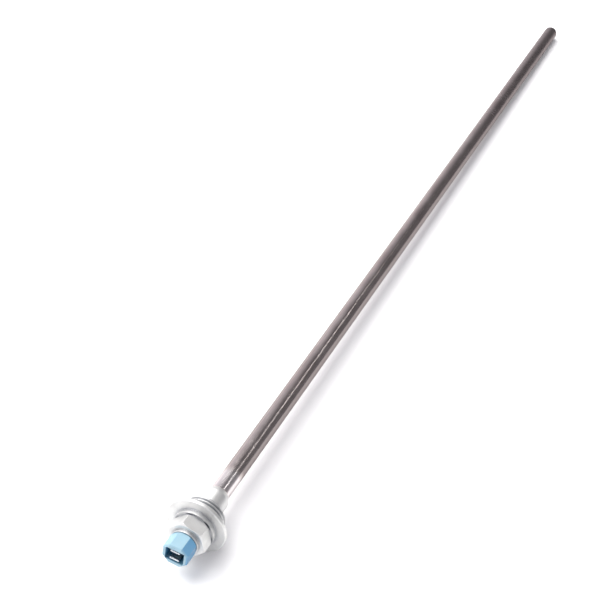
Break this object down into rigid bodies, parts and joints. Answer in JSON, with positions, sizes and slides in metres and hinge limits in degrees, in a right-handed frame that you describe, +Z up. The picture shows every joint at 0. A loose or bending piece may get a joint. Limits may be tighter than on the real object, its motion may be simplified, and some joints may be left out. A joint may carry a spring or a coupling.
{
  "type": "screw-in immersion heater",
  "caption": "Straight rod immersion heater with a threaded, flanged hexagonal screw plug and a two-blade plastic connector.",
  "frame": {"origin": "on the heater's axis, in the outer face of the sealing washer, where the tank wall sits", "axes": "+X along the rod towards the tip in the water, -X to the connector, +Z up across the two blades, +Y across the blades' width"},
  "size_m": [0.6317, 0.031, 0.031],
  "materials": {
    "oxidised_steel": "matt, heat-darkened beyond a short bright stretch",
    "turned_steel": "bright turned",
    "braze": "satin",
    "seal_fibre": "matt",
    "blue_plastic": "satin moulded",
    "black_rubber": "matt",
    "blade_metal": "plated",
    "lead_metal": "drawn",
    "resistance_wire": "oxidised",
    "white_ceramic": "matt",
    "magnesia": "compacted powder",
    "mica": "satin",
    "silicone": "matt",
    "resin": "cast"
  },
  "bodies": {
    "root": {"sheath_tube": "oxidised_steel", "tip_cap": "oxidised_steel", "tip_insulator": "white_ceramic", "magnesia_sleeve": "magnesia", "ceramic_core": "white_ceramic", "resistance_coil": "resistance_wire", "return_conductor": "lead_metal", "return_link": "lead_metal", "live_link": "lead_metal", "neutral_ferrule": "lead_metal", "live_pin": "lead_metal", "neutral_pin": "lead_metal", "cold_end_core": "white_ceramic", "mica_disc": "mica", "tube_seal_bush": "silicone", "terminal_insulator": "white_ceramic", "potting_compound": "resin", "screw_plug": "turned_steel", "sealing_washer": "seal_fibre", "neck_collar": "turned_steel", "braze_ring": "braze", "connector_housing": "blue_plastic", "connector_o_ring": "black_rubber", "blade_live": "blade_metal", "blade_neutral": "blade_metal"}
  },
  "joints": []
}
